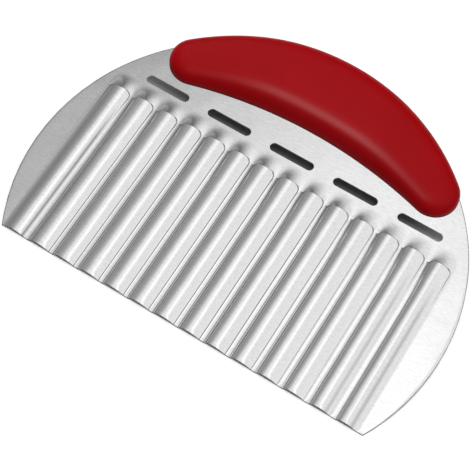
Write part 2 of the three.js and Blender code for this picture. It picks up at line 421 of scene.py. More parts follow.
bpy.ops.object.select_all(action="DESELECT")
bpy.ops.mesh.primitive_cube_add(size=1, scale=(SLOT_LENGTH, SLOT_WIDTH, 2 * rim_start))
slot_cutter = bpy.context.object
bpy.ops.object.transform_apply(location=False, rotation=False, scale=True)
bpy.ops.object.mode_set(mode="EDIT")
bpy.ops.mesh.select_mode(type="EDGE")
bpy.ops.mesh.select_all(action="DESELECT")
bpy.ops.object.mode_set(mode="OBJECT")
for edge in slot_cutter.data.edges:
    ends = [slot_cutter.data.vertices[v].co for v in edge.vertices]
    edge.select = abs(ends[0].z - ends[1].z) > rim_start
bpy.ops.object.mode_set(mode="EDIT")
bpy.ops.mesh.bevel(offset=ALMOST_HALF * SLOT_WIDTH, segments=SLOT_END_STEPS, affect="EDGES")
for side in (1, -1):
    select_faces(slot_cutter, lambda centre, normal: normal.z * side > FACING and centre.z * side > 0)
    for before, after in zip(RIM_TURNS, RIM_TURNS[1:]):
        before, after = math.radians(before), math.radians(after)
        rise = side * RIM_RADIUS * (math.sin(after) - math.sin(before))
        was, now = (2 * RIM_RADIUS * (1 - math.cos(turn)) for turn in (before, after))
        wider = ((SLOT_LENGTH + now) / (SLOT_LENGTH + was), (SLOT_WIDTH + now) / (SLOT_WIDTH + was), 1)
        bpy.ops.mesh.extrude_region_move(TRANSFORM_OT_translate={"value": (0, 0, rise)})
        bpy.ops.transform.resize(value=wider, center_override=(0, 0, 0))
    bpy.ops.mesh.extrude_region_move(TRANSFORM_OT_translate={"value": (0, 0, side * CUTTER_REACH)})
bpy.ops.object.mode_set(mode="OBJECT")
print("slot cutter has", len(slot_cutter.data.polygons), "faces")

# %% Cut the slots and the pin holes
PIN_NODES = ("tang_pin_left", "tang_pin_middle", "tang_pin_right")
PIN_DIAMETER = 3 * MM
ROD_SIDES = 32
CLEARANCE = 0.3 * MM
bore_radius = PIN_DIAMETER / 2 + CLEARANCE
to_bench = laid.inverted()
pin_places = []
for name in PIN_NODES:
    low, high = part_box(name)
    pin_places.append(to_bench @ ((low + high) / 2))


def rods(radius, bottom, top):
    made = []
    for place in pin_places:
        bpy.ops.mesh.primitive_cylinder_add(
            vertices=ROD_SIDES, radius=radius, depth=top - bottom,
            location=(place.x, place.y, (bottom + top) / 2),
        )
        made.append(bpy.context.object)
    return made


def joined(pieces):
    only(pieces[0])
    for piece in pieces:
        piece.select_set(True)
    bpy.ops.object.join()
    bpy.ops.object.transform_apply(location=True, rotation=True, scale=True)
    return pieces[0]


def cut(piece, cutter):
    apply_modifier(piece, "BOOLEAN", operation="DIFFERENCE", solver="EXACT", object=cutter)
    remove(cutter)


cutters = [slot_cutter]
slot_cutter.location = (SLOT_SHIFT - (SLOT_COUNT - 1) / 2 * SLOT_PITCH, SLOT_HEIGHT, 0)
for i in range(1, SLOT_COUNT):
    only(slot_cutter)
    bpy.ops.object.duplicate(linked=False)
    bpy.context.object.location.x += i * SLOT_PITCH
    cutters.append(bpy.context.object)
cutters += rods(bore_radius, -CUTTER_REACH, CUTTER_REACH)
cut(blade, joined(cutters))
print("cut", len(cutters), "holes; blade has", len(blade.data.polygons), "faces")

# %% [markdown]
# ## The handle's outline
# Seen from the front, the grip is a crescent: a top arc that follows the blade's circle, round ends,
# and a hollow underside for the fingers. It could be traced as a curve. Spinning one point about the
# centre of each arc in turn gives the same line as a clean ring of vertices, with no tangents to tune.

# %% Spin the crescent
HANDLE_RADIUS = 85.65 * MM
HANDLE_LENGTH = 123.6 * MM
HANDLE_DEPTH = 32.2 * MM
END_RADIUS = 9.45 * MM
TOP_STEPS = 72
END_STEPS = 28
HOLLOW_STEPS = 64
MERGE_DISTANCE = 0.01 * MM
end_x = HANDLE_LENGTH / 2 - END_RADIUS
end_y = circle_height + math.sqrt((HANDLE_RADIUS - END_RADIUS) ** 2 - end_x**2)
end_angle = math.atan2(end_y - circle_height, end_x)
underside_y = circle_height + HANDLE_RADIUS - HANDLE_DEPTH
end_rise = end_y - underside_y
hollow_radius = (end_x**2 + end_rise**2 - END_RADIUS**2) / (2 * (END_RADIUS - end_rise))
hollow_y = underside_y - hollow_radius
touch = math.atan2(end_y - hollow_y, end_x)


def spin_arc(centre_x, centre_y, sweep, steps):
    # Without a window a positive spin turns clockwise about +Z, so the axis points down.
    axis = (0, 0, -1) if sweep > 0 else (0, 0, 1)
    bpy.ops.mesh.spin(steps=steps, angle=abs(sweep), center=(centre_x, centre_y, 0), axis=axis)


def crescent(name, inset, height):
    bpy.ops.object.select_all(action="DESELECT")
    bpy.ops.mesh.primitive_plane_add(size=MM)
    piece = bpy.context.object
    piece.name = name
    radius = HANDLE_RADIUS - inset
    start = (radius * math.cos(end_angle), circle_height + radius * math.sin(end_angle), 0)
    bpy.ops.object.mode_set(mode="EDIT")
    bpy.ops.mesh.merge(type="CENTER")
    bpy.ops.mesh.select_mode(type="VERT")
    bpy.ops.mesh.select_all(action="SELECT")
    bpy.ops.transform.translate(value=start)
    spin_arc(0, circle_height, math.pi - 2 * end_angle, TOP_STEPS)
    spin_arc(-end_x, end_y, math.pi - touch + end_angle, END_STEPS)
    spin_arc(0, hollow_y, 2 * touch - math.pi, HOLLOW_STEPS)
    spin_arc(end_x, end_y, math.pi - touch + end_angle, END_STEPS)
    bpy.ops.mesh.select_all(action="SELECT")
    bpy.ops.mesh.remove_doubles(threshold=MERGE_DISTANCE)
    bpy.ops.mesh.edge_face_add()
    bpy.ops.transform.translate(value=(0, 0, height))
    bpy.ops.object.mode_set(mode="OBJECT")
    return piece


def thicken(piece, amount):
    bpy.ops.object.mode_set(mode="EDIT")
    bpy.ops.mesh.select_all(action="SELECT")
    bpy.ops.mesh.extrude_region_move(TRANSFORM_OT_translate={"value": (0, 0, amount)})
    bpy.ops.mesh.select_all(action="SELECT")
    bpy.ops.mesh.normals_make_consistent(inside=False)


PARTING_EDGE = 0.3 * MM
LAND = 1.7 * MM
front_shell = crescent("front_grip", 0, PARTING_EDGE)
thicken(front_shell, LAND - PARTING_EDGE)
bpy.ops.object.mode_set(mode="OBJECT")
print("crescent outline has", len(front_shell.data.vertices) // 2, "points")

# %% [markdown]
# ## Rounding the grip
# The moulded grip has no sharp front edge: its wall rolls over into a nearly flat face. A bevel would
# give one round radius, but here the roll is steep at the foot and slow at the top. So the face is
# inset again and again, each time a little inwards and a little up, along a quarter of an ellipse
# that is a little squarer than a true one. One shallow inset on the other side eases the line where
# the two shells meet.

# %% Roll the edge over
HANDLE_THICKNESS = 19.4 * MM
ROUND_WIDTH = 8.7 * MM
ROUND_POWER = 0.83
PARTING_INSET = 0.24 * MM
ROUND_STEPS = 20
round_rise = HANDLE_THICKNESS / 2 - LAND

profile = []
for k in range(ROUND_STEPS + 1):
    angle = math.pi / 2 * k / ROUND_STEPS
    inwards = ROUND_WIDTH * (1 - max(math.cos(angle), 0) ** ROUND_POWER)
    profile.append((inwards, LAND + round_rise * math.sin(angle) ** ROUND_POWER))

only(front_shell)
bpy.ops.object.mode_set(mode="EDIT")
select_faces(front_shell, lambda centre, normal: normal.z > FACING)
for (inset_a, height_a), (inset_b, height_b) in zip(profile, profile[1:]):
    bpy.ops.mesh.inset(thickness=inset_b - inset_a, depth=height_b - height_a)
select_faces(front_shell, lambda centre, normal: normal.z < -FACING)
bpy.ops.mesh.inset(thickness=PARTING_INSET, depth=PARTING_INSET)
bpy.ops.object.mode_set(mode="OBJECT")
print("solid half grip has", len(front_shell.data.polygons), "faces")

# %% [markdown]
# ## Thinner ends
# Towards its ends the grip gets thinner, and its face stays flat almost to the rim. An inset has one
# width and one height all the way round. So each point of the roll is moved outwards by a share of
# its own distance from the outline and lowered by a share of its height, and both shares grow towards
# the ends.

# %% Thin the ends
END_WIDENING = 0.25
END_THINNING = 0.38
THINNING_START = 20 * MM
THINNING_LENGTH = 42 * MM


def outline_near(x, y):
    from_end = Vector((abs(x) - end_x, y - end_y))
    from_top = Vector((abs(x), y - circle_height))
    from_hollow = Vector((abs(x), y - hollow_y))
    turn = math.atan2(from_end.y, from_end.x)
    if touch - math.pi <= turn <= end_angle:
        return END_RADIUS - from_end.length, from_end.normalized()
    if HANDLE_RADIUS - from_top.length < from_hollow.length - hollow_radius:
        return HANDLE_RADIUS - from_top.length, from_top.normalized()
    return from_hollow.length - hollow_radius, -from_hollow.normalized()


for vertex in front_shell.data.vertices:
    x, y, z = vertex.co
    if z > LAND:
        distance, away = outline_near(x, y)
        near_end = eased((abs(x) - THINNING_START) / THINNING_LENGTH)
        moved = distance * END_WIDENING * near_end
        vertex.co.x = x + math.copysign(1, x) * away.x * moved
        vertex.co.y = y + away.y * moved
        vertex.co.z = LAND + (z - LAND) * (1 - END_THINNING * near_end)
print("half grip is", round((LAND + round_rise * (1 - END_THINNING)) / MM, 2), "mm thick at its ends")

# %% [markdown]
# ## Hollowing the shell
# Each shell is moulded hollow, with a rim, three bosses for the pins and a shallow step where the
# blade passes between the shells. None of this shows, but a part that is opened or cut should look
# like one. Cutters do it: a smaller crescent, pierced where the bosses stand, then the bores, then two
# discs in the shape of the blade and its tang.

# %% Hollow the shell
RIM_WIDTH = 4.5 * MM
ROOF = 4.4 * MM
BOSS_WALL = 2.4 * MM
PIN_HALF_LENGTH = 6 * MM
BELOW = 2 * MM
SHELL_GAP = 0.1 * MM
DISC_SIDES = 192
step_height = SHEET_THICKNESS / 2 + SHELL_GAP


def disc(radius, bottom, top):
    bpy.ops.mesh.primitive_cylinder_add(
        vertices=DISC_SIDES, radius=radius, depth=top - bottom,
        location=(0, circle_height, (bottom + top) / 2),
    )
    bpy.ops.object.transform_apply(location=True, rotation=True, scale=True)
    return bpy.context.object


cavity = crescent("cavity", RIM_WIDTH, -BELOW)
thicken(cavity, BELOW + ROOF)
bpy.ops.object.mode_set(mode="OBJECT")
cut(cavity, joined(rods(bore_radius + BOSS_WALL, -2 * BELOW, 2 * ROOF)))
cut(front_shell, cavity)
cut(front_shell, joined(rods(bore_radius, -BELOW, PIN_HALF_LENGTH + CLEARANCE)))
cut(front_shell, disc(TANG_RADIUS + CLEARANCE, -BELOW, step_height))
blade_disc = disc(blade_radius + CLEARANCE, -BELOW, step_height)
bpy.ops.object.mode_set(mode="EDIT")
bpy.ops.mesh.select_all(action="SELECT")
bpy.ops.mesh.bisect(
    plane_co=(0, SHOULDER_HEIGHT + CLEARANCE, 0), plane_no=(0, 1, 0), use_fill=True, clear_outer=True
)
bpy.ops.object.mode_set(mode="OBJECT")
cut(front_shell, blade_disc)
print("hollow shell has", len(front_shell.data.polygons), "faces")

# %% [markdown]
# ## The back shell
# The grip is the same at both ends, so the back shell is the front one turned half round about the
# upright line. A mirror would do as well, but it turns faces inside out. Smooth shading by angle
# then keeps the rims crisp and the rolled edges soft.

# %% Copy the shell to the back
only(front_shell)
bpy.ops.object.duplicate(linked=False)
back_shell = bpy.context.object
back_shell.name = "back_grip"
back_shell.data.transform(Matrix.Rotation(math.pi, 4, "Y"))
SMOOTH_LIMIT = math.radians(32)
for piece in (blade, front_shell, back_shell):
    only(piece)
    bpy.ops.object.shade_smooth_by_angle(angle=SMOOTH_LIMIT)
print("shells:", front_shell.name, back_shell.name)

# %% [markdown]
# ## Laying the pieces down
# The pieces were drawn flat on the bench, and the real cutter lies tilted on its back. Each could keep
# that tilt as a rotation of its object, but a finished piece sits at the origin, unturned, with its
# place in its mesh. So each is turned into place and the transform is applied. Then it stands for its
# CAD node and rides on the one body.

# %% Lay the pieces down on the frame
for piece, node, slot in (
    (blade, "blade", "blade_steel"),
    (front_shell, "handle_front_shell", "handle_plastic"),
    (back_shell, "handle_back_shell", "handle_plastic"),
):
    only(piece)
    piece.matrix_world = laid
    bpy.ops.object.transform_apply(location=True, rotation=True, scale=True)
    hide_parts(node)
    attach(piece, "root")
    print(piece.name, "stands for", node)

# %% [markdown]
# ## Helpers for finishes
# A finish is a small graph of nodes. It could be wired in the editor by hand, but a script has to say
# each link. So one helper feeds a socket with a number, a colour or another node's output, and the
# others make the few kinds of node that all finishes here share.

# %% Helpers for nodes
def finish(name):
    material = bpy.data.materials.new(name)
    material.use_nodes = True
    tree = material.node_tree
    return material, tree, tree.nodes["Principled BSDF"]


def dress(mesh, material):
    mesh.materials.clear()
    mesh.materials.append(material)


def feed(tree, socket, value):
    if isinstance(value, bpy.types.NodeSocket):
        tree.links.new(value, socket)
    else:
        socket.default_value = value


def add_node(tree, kind, settings=None, **inputs):
    node = tree.nodes.new(kind)
    for name, value in (settings or {}).items():
        setattr(node, name, value)
    for name, value in inputs.items():
        feed(tree, node.inputs[name.replace("_", " ")], value)
    return node


def math_node(tree, operation, *values):
    node = add_node(tree, "ShaderNodeMath", {"operation": operation})
    for socket, value in zip(node.inputs, values):
        feed(tree, socket, value)
    return node.outputs["Value"]


def mixed(tree, blend, first, second, factor=1):
    node = add_node(tree, "ShaderNodeMix", {"data_type": "RGBA", "blend_type": blend})
    for name, value in (("Factor", factor), ("A", first), ("B", second)):
        feed(tree, node.inputs[name], value)
    return node.outputs["Result"]


print("node helpers ready")

# %% Helpers for noise, ramps and bumps
def noise_on_object(tree, scale, detail, roughness=0.5):
    place = add_node(tree, "ShaderNodeTexCoord").outputs["Object"]
    stretch = add_node(tree, "ShaderNodeMapping", Vector=place, Scale=scale)
    noise = add_node(tree, "ShaderNodeTexNoise", Scale=1, Detail=detail, Roughness=roughness)
    tree.links.new(stretch.outputs["Vector"], noise.inputs["Vector"])
    return noise.outputs["Fac"]


def ramp(tree, factor, *stops):
    node = add_node(tree, "ShaderNodeValToRGB", Fac=factor)
    elements = node.color_ramp.elements
    while len(elements) < len(stops):
        elements.new(0.5)
    for element, (place, colour) in zip(elements, stops):
        element.position = place
        element.color = (*colour, 1) if isinstance(colour, tuple) else (colour, colour, colour, 1)
    return node.outputs["Color"]


def remap(tree, value, low, high, spread=(0.25, 0.75)):
    first, last = spread
    node = add_node(
        tree, "ShaderNodeMapRange", Value=value, From_Min=first, From_Max=last, To_Min=low, To_Max=high
    )
    return node.outputs["Result"]


def bump(tree, height, strength, distance):
    return add_node(tree, "ShaderNodeBump", Height=height, Strength=strength, Distance=distance)


print("helpers for noise, ramps and bumps ready")

# %% [markdown]
# ## Brushed steel
# The sheet was brushed along the cutting edge before it was pressed, so fine straight scratches run
# that way. They could be painted as lines, but noise stretched along x gives the same grain at any
# distance. The grain drives the tone, the roughness and a very small bump. A pressed sheet is never
# quite flat either, so a second, slow bump makes its reflections waver a little.

# %% Make the brushed steel
SCRATCH_SCALE = (500, 2600, 2600)
SCRATCH_DEPTH = 0.02 * MM
WAVE_SCALE = (70, 70, 70)
WAVE_DEPTH = 0.6 * MM
brushed_steel, tree, shader = finish("brushed_steel")
shader.inputs["Metallic"].default_value = 1
shader.inputs["Anisotropic"].default_value = 0.85
shader.inputs["Anisotropic Rotation"].default_value = 0.25
along_edge = add_node(tree, "ShaderNodeTangent", {"direction_type": "UV_MAP", "uv_map": "UVMap"})
tree.links.new(along_edge.outputs["Tangent"], shader.inputs["Tangent"])
scratches = noise_on_object(tree, SCRATCH_SCALE, 4, 0.6)
tree.links.new(remap(tree, scratches, 0.14, 0.18), shader.inputs["Roughness"])
wavy = bump(tree, noise_on_object(tree, WAVE_SCALE, 1), 0.3, WAVE_DEPTH)
grained = bump(tree, scratches, 0.12, SCRATCH_DEPTH)
tree.links.new(wavy.outputs["Normal"], grained.inputs["Normal"])
tree.links.new(grained.outputs["Normal"], shader.inputs["Normal"])
steel_tone = ramp(tree, scratches, (0.3, (0.77, 0.77, 0.775)), (0.7, (0.94, 0.94, 0.945)))
print("steel is brushed along the cutting edge")

# %% [markdown]
# ## Painted shade in the creases
# A thin dark line of painted shade runs round the foot of each rib, where the tight corner would
# reflect dark. It is painted weaker towards the right, except near the ribs' ends. The line could be
# cut as a groove, but it is a tenth of a millimetre deep at most. A colour does it: the distance to the
# outline of the nearest rib, a rectangle with round corners, is worked out from the place on the
# blade, and a narrow ramp darkens the steel there.

# %% Find the place on the blade
def place_on_bench(tree):
    place = add_node(tree, "ShaderNodeTexCoord").outputs["Object"]
    on_bench = add_node(tree, "ShaderNodeMapping", Vector=place)
    on_bench.inputs["Location"].default_value = to_bench.translation
    on_bench.inputs["Rotation"].default_value = to_bench.to_euler()
    return add_node(tree, "ShaderNodeSeparateXYZ", Vector=on_bench.outputs["Vector"]).outputs


def from_blade_centre(tree, parts):
    on_sheet = add_node(tree, "ShaderNodeCombineXYZ", X=parts["X"], Y=parts["Y"])
    distance = add_node(tree, "ShaderNodeVectorMath", {"operation": "DISTANCE"})
    distance.inputs[1].default_value = (0, circle_height, 0)
    tree.links.new(on_sheet.outputs["Vector"], distance.inputs[0])
    return distance.outputs["Value"]


def across_blade(tree, parts, *stops):
    # The stops are millimetres along the cutting edge.
    first, last = stops[0][0], stops[-1][0]
    share = remap(tree, parts["X"], 0, 1, (first * MM, last * MM))
    return ramp(tree, share, *[((at - first) / (last - first), tone) for at, tone in stops])


on_blade = place_on_bench(tree)
print("the steel knows its place on the bench")

# %% Paint the shade in the creases
CREASE_PLACE = 4.42 * MM
CREASE_SHIFT = -0.12 * MM
CREASE_END = RIB_END + 0.25 * MM
CREASE_CORNER = 2 * MM
CREASE_WIDTH = 0.17 * MM
CREASE_SHADE_TONE = 0.12
CREASE_FADE = ((-64.5, 0.0), (-64, 1.0), (20, 1.0), (45, 0.5), (56, 0.25), (62, 0.0))
END_SHADE_STRENGTH = 0.8
END_SHADE_BAND = (55 * MM, 67 * MM)

past_first = math_node(tree, "SUBTRACT", on_blade["X"], spines[0] + CREASE_SHIFT)
to_spine = math_node(tree, "WRAP", past_first, RIB_PITCH / 2, -RIB_PITCH / 2)
to_side = math_node(tree, "ABSOLUTE", to_spine)
past_side = math_node(tree, "SUBTRACT", to_side, CREASE_PLACE - CREASE_CORNER)
past_end = math_node(tree, "SUBTRACT", on_blade["Y"], CREASE_END - CREASE_CORNER)
past_corner = add_node(tree, "ShaderNodeCombineXYZ")
tree.links.new(math_node(tree, "MAXIMUM", past_side, 0), past_corner.inputs["X"])
tree.links.new(math_node(tree, "MAXIMUM", past_end, 0), past_corner.inputs["Y"])
outwards = add_node(tree, "ShaderNodeVectorMath", {"operation": "LENGTH"})
tree.links.new(past_corner.outputs["Vector"], outwards.inputs["Vector"])
crease_band = (CREASE_CORNER - CREASE_WIDTH, CREASE_CORNER + CREASE_WIDTH)
over_crease = remap(tree, outwards.outputs["Value"], 0, 1, crease_band)
# Painted shade: a thin dark line along the outline of each rib.
crease_shade = ramp(tree, over_crease, (0, 1.0), (0.3, CREASE_SHADE_TONE), (0.7, CREASE_SHADE_TONE), (1, 1.0))
to_middle = math_node(tree, "ABSOLUTE", math_node(tree, "SUBTRACT", on_blade["X"], RIB_SHIFT))
within_ribs = math_node(tree, "LESS_THAN", to_middle, rib_span)
# The painted shade stays strong near the ribs' ends and fades towards the right.
shade_near_ends = remap(tree, on_blade["Y"], 0, END_SHADE_STRENGTH, END_SHADE_BAND)
crease_shade_reach = math_node(tree, "MAXIMUM", across_blade(tree, on_blade, *CREASE_FADE), shade_near_ends)
crease_shade_amount = math_node(tree, "MULTIPLY", within_ribs, crease_shade_reach)
crease_shaded = mixed(tree, "MULTIPLY", steel_tone, crease_shade, crease_shade_amount)
print("creases are", round(2 * CREASE_WIDTH / MM, 2), "mm wide")

# %% [markdown]
# ## Painted shade on streaks, edge and rim
# On the outer ribs a few soft streaks of painted shade run along the steel, and a thin line of painted
# shade runs along the cutting edge and round the outline. These could be a second material on their
# own faces, but their borders are soft. So they are ramps too: the streaks over the place along the
# cutting edge, and the rims over the distance from the blade's outline.

# %% Paint shade on the streaks and the rims
# Each streak has its middle and reach in millimetres along the cutting edge, and its tone.
SHADE_STREAKS = ((-66.25, 0.7, 0.3), (-61.9, 0.6, 0.7), (60.05, 0.9, 0.62), (70.25, 0.95, 0.58))
STREAK_LIMIT = 75
STREAK_FADE = (48 * MM, 64 * MM)
EDGE_SHADE_WIDTH = 0.25 * MM
RIM_SHADE_WIDTH = 0.36 * MM
PAINTED_SHADE_TONE = 0.12

# Painted shade: soft dark streaks along the outer ribs.
streak_stops = [(-STREAK_LIMIT, 1.0)]
for middle, reach, tone in SHADE_STREAKS:
    streak_stops += [(middle - reach, 1.0), (middle, tone), (middle + reach, 1.0)]
streak_shade = across_blade(tree, on_blade, *streak_stops, (STREAK_LIMIT, 1.0))
below_ends = remap(tree, on_blade["Y"], 1, 0, STREAK_FADE)
streak_shaded = mixed(tree, "MULTIPLY", crease_shaded, streak_shade, below_ends)
# Painted shade: a thin dark line along the cutting edge and round the outline.
from_edge = remap(tree, on_blade["Y"], 0, 1, (0, EDGE_SHADE_WIDTH))
edge_shaded = mixed(tree, "MULTIPLY", streak_shaded, ramp(tree, from_edge, (0.4, PAINTED_SHADE_TONE), (1, 1.0)))
rim_band = (blade_radius - RIM_SHADE_WIDTH, blade_radius)
to_rim = remap(tree, from_blade_centre(tree, on_blade), 0, 1, rim_band)
rim_shaded = mixed(tree, "MULTIPLY", edge_shaded, ramp(tree, to_rim, (0, 1.0), (0.7, PAINTED_SHADE_TONE)))
tree.links.new(rim_shaded, shader.inputs["Base Color"])
dress(blade.data, brushed_steel)
print("blade finish:", brushed_steel.name)

# %% [markdown]
# ## Red moulded plastic
# The grip is a satin red plastic with a fine moulded texture, which breaks its highlight into a soft
# grainy streak. Its gloss is weak, so the red stays deep. A plain colour would look like paint. Fine
# noise gives the texture as bump and as a little change of roughness, and a slow noise varies the red,
# as flow in a mould does. Where the blade enters the grip, painted shade darkens the red over the
# last millimetre beside it, and a much fainter dark line runs along the seam of the two shells.

# %% Make the red plastic
TEXTURE_SCALE = (2600, 2600, 2600)
TEXTURE_DEPTH = 0.03 * MM
FLOW_SCALE = (45, 45, 45)
SEAM_REACH = 2 * MM
SEAM_SHARE = 0.3
SHADE_INSIDE = 0.2 * MM
SHADE_OUTSIDE = 0.3 * MM
red_plastic, tree, shader = finish("red_plastic")
shader.inputs["Specular IOR Level"].default_value = 0.042
texture = noise_on_object(tree, TEXTURE_SCALE, 3)
flow = noise_on_object(tree, FLOW_SCALE, 2)
red = ramp(tree, flow, (0.3, (0.380, 0.0018, 0.0046)), (0.7, (0.405, 0.0024, 0.0054)))
on_grip = place_on_bench(tree)
# Painted shade where the blade enters the grip, and a fainter dark line along the rest of the seam.
from_seam = remap(tree, math_node(tree, "ABSOLUTE", on_grip["Z"]), 0, 1, (0, SEAM_REACH))
seam_line_and_shade = ramp(tree, from_seam, (0.45, 0.06), (0.75, 1.0))
blade_band = (blade_radius - SHADE_INSIDE, blade_radius + SHADE_OUTSIDE)
shade_beside_blade = remap(tree, from_blade_centre(tree, on_grip), 1, SEAM_SHARE, blade_band)
tree.links.new(mixed(tree, "MULTIPLY", red, seam_line_and_shade, shade_beside_blade), shader.inputs["Base Color"])
tree.links.new(remap(tree, texture, 0.36, 0.43), shader.inputs["Roughness"])
grainy = bump(tree, texture, 0.15, TEXTURE_DEPTH)
tree.links.new(grainy.outputs["Normal"], shader.inputs["Normal"])
for piece in (front_shell, back_shell):
    dress(piece.data, red_plastic)
print("grip finish:", red_plastic.name)

# %% [markdown]
# ## The tang's pins
# Three drawn steel pins hold the tang between the shells. Their CAD solids already have the right
# shape and stay as they are. They only get a finish: drawn wire has fine lines along its length.

# %% Finish the pins
DRAWN_SCALE = (4000, 4000, 150)
drawn_steel, tree, shader = finish("drawn_steel")
shader.inputs["Metallic"].default_value = 1
lines = noise_on_object(tree, DRAWN_SCALE, 3)
tree.links.new(ramp(tree, lines, (0.3, 0.5), (0.7, 0.62)), shader.inputs["Base Color"])
tree.links.new(remap(tree, lines, 0.3, 0.45), shader.inputs["Roughness"])
for name in PIN_NODES:
    dress(frame["nodes"][name].data, drawn_steel)
print("pin finish:", drawn_steel.name)

# %% [markdown]
# ## The floor
# The photograph's ground is plain white. A white floor that only takes its real shadow would do, but
# then light from all sides fills the gap under the sheet. So the floor is white to the camera and in
# reflections, and a pale grey to other light. Under the blade a painted shadow makes it dark, and so
# the slots and the thin lines of contact stay dark as well. A painted light shows through the slots,
# most of it at both ends.

# %% Lay the floor
FLOOR_SIZE = 4.0
bpy.ops.object.select_all(action="DESELECT")
bpy.ops.mesh.primitive_plane_add(size=FLOOR_SIZE)
floor = bpy.context.object
floor.name = "studio_floor"
print("floor is", FLOOR_SIZE, "m wide")

# %% Paint the shadow under the blade
RIM_SHADE = 1.0 * MM
EDGE_SHADE = 0.9 * MM
under_middle = laid @ Vector((0, circle_height, 0))
under_edge = (laid @ Vector((0, 0, 0))).y
white_floor, tree, shader = finish("white_floor")
tree.nodes.remove(shader)
place = add_node(tree, "ShaderNodeTexCoord").outputs["Object"]
under = add_node(tree, "ShaderNodeMapping", {"vector_type": "TEXTURE"}, Vector=place)
under.inputs["Location"].default_value = (under_middle.x, under_middle.y, 0)
under.inputs["Scale"].default_value = (blade_radius, blade_radius, 1)
inwards = add_node(tree, "ShaderNodeTexGradient", {"gradient_type": "SPHERICAL"})
tree.links.new(under.outputs["Vector"], inwards.inputs["Vector"])
below_rim = remap(tree, inwards.outputs["Fac"], 0, 1, (0, RIM_SHADE / blade_radius))
on_floor = add_node(tree, "ShaderNodeSeparateXYZ", Vector=place).outputs
past_edge = remap(tree, on_floor["Y"], 0, 1, (under_edge, under_edge + EDGE_SHADE))
# Painted shadow: the floor is marked dark under the blade.
below = math_node(tree, "MULTIPLY", below_rim, past_edge)
print("shade starts", round(under_edge / MM, 1), "mm from the middle, under the cutting edge")

# %% Paint light through the slots
FLOOR_LIFT = 0.47
SHADE_LENGTH = 100 * MM
SHADE_TONES = (
    (0.04, 0.05), (0.2, 0.25), (0.785, 0.3), (0.8, 0.3), (0.825, 1.0), (0.843, 0.6), (0.86, 0.35),
    (0.9, 0.3),
)
END_LIGHT = ((0.02, 0.13), (0.2, 0.06), (0.25, 0.0), (0.82, 0.0), (0.92, 0.14), (1, 0.22))
# Painted shade under the blade, with a painted band of light below the slots.
to_slots = remap(tree, on_floor["Y"], 0, 1, (under_edge, under_edge + SHADE_LENGTH))
painted_shade_and_slot_light = ramp(tree, to_slots, *SHADE_TONES)
to_right = remap(tree, on_floor["X"], 0, 1, (-EDGE_LENGTH / 2, EDGE_LENGTH / 2))
painted_slot_light = mixed(tree, "MULTIPLY", ramp(tree, to_right, *END_LIGHT), painted_shade_and_slot_light)
floor_tone = mixed(tree, "MIX", (1, 1, 1, 1), painted_shade_and_slot_light, below)
well_below = remap(tree, below, 0, 1, (0, 0.5))
glow = mixed(tree, "MIX", (FLOOR_LIFT, FLOOR_LIFT, FLOOR_LIFT, 1), painted_slot_light, well_below)
print("light falls through", SLOT_COUNT, "slots")

# %% Make the floor white to the camera
PALE_GREY = (0.45, 0.45, 0.45, 1)
lit = add_node(tree, "ShaderNodeBsdfDiffuse", Color=floor_tone)
lift = add_node(tree, "ShaderNodeEmission", Color=glow, Strength=1)
seen = add_node(tree, "ShaderNodeAddShader")
tree.links.new(lit.outputs["BSDF"], seen.inputs[0])
tree.links.new(lift.outputs["Emission"], seen.inputs[1])
unseen = add_node(tree, "ShaderNodeBsdfDiffuse", Color=PALE_GREY)
rays = add_node(tree, "ShaderNodeLightPath").outputs
mirrored = math_node(tree, "MAXIMUM", rays["Is Glossy Ray"], rays["Is Transmission Ray"])
either = math_node(tree, "MAXIMUM", rays["Is Camera Ray"], mirrored)
choose = add_node(tree, "ShaderNodeMixShader", Fac=either)
tree.links.new(unseen.outputs["BSDF"], choose.inputs[1])
tree.links.new(seen.outputs["Shader"], choose.inputs[2])
tree.links.new(choose.outputs["Shader"], tree.nodes["Material Output"].inputs["Surface"])
floor.data.materials.append(white_floor)
print("floor finish:", white_floor.name)

# %% [markdown]
# ## The studio
# Steel shows what stands round it, so its tones are set by the light and not by its colour. The
# studio here is a soft white ceiling that fades to grey on the left, behind and near the ground. It
# could be built from many lamps and dark cards. A sky that depends only on direction does the same
# with no noise: one ramp runs from left to right and one from front to back, and their product is the
# light.

# %% Light the studio
SIDE_TONES = (
    (0.05, 0.25), (0.1, 0.33), (0.2, 0.36), (0.27, 0.5), (0.38, 0.6), (0.45, 0.9), (0.6, 0.95),
    (0.9, 0.9), (0.95, 0.6), (1.0, 0.4),
)
BACK_TONES = ((0.1, 0.4), (0.25, 0.5), (0.45, 1), (0.7, 1), (0.78, 0.48), (0.84, 0.22), (0.92, 0.13))
world = bpy.data.worlds.new("studio")
bpy.context.scene.world = world
world.use_nodes = True
tree = world.node_tree
sky = tree.nodes["Background"]
direction = add_node(tree, "ShaderNodeTexCoord").outputs["Generated"]
towards = add_node(tree, "ShaderNodeSeparateXYZ", Vector=direction).outputs
left_to_right = ramp(tree, remap(tree, towards["X"], 0, 1, (-1, 1)), *SIDE_TONES)
front_to_back = ramp(tree, remap(tree, towards["Y"], 0, 1, (-1, 1)), *BACK_TONES)
tree.links.new(mixed(tree, "MULTIPLY", left_to_right, front_to_back), sky.inputs["Color"])
backdrop = add_node(tree, "ShaderNodeBackground", Color=(1, 1, 1, 1), Strength=1)
rays = add_node(tree, "ShaderNodeLightPath").outputs
choose = add_node(tree, "ShaderNodeMixShader", Fac=rays["Is Camera Ray"])
tree.links.new(sky.outputs["Background"], choose.inputs[1])
tree.links.new(backdrop.outputs["Background"], choose.inputs[2])
tree.links.new(choose.outputs["Shader"], tree.nodes["World Output"].inputs["Surface"])
print("studio sky ready")

# %% [markdown]
# ## The softbox
# A white card hangs half a metre above the blade and behind it, where the flat steel looks. The
# bright band on each crest lies a little further to the left on each rib to the right, which only
# a near light does, so the sky alone can't give it. The card shows in reflections only. It fades to
# grey at its left end and towards the back, and one bright strip crosses it at a slant, because the
# cutter lies turned in the picture and the light doesn't.

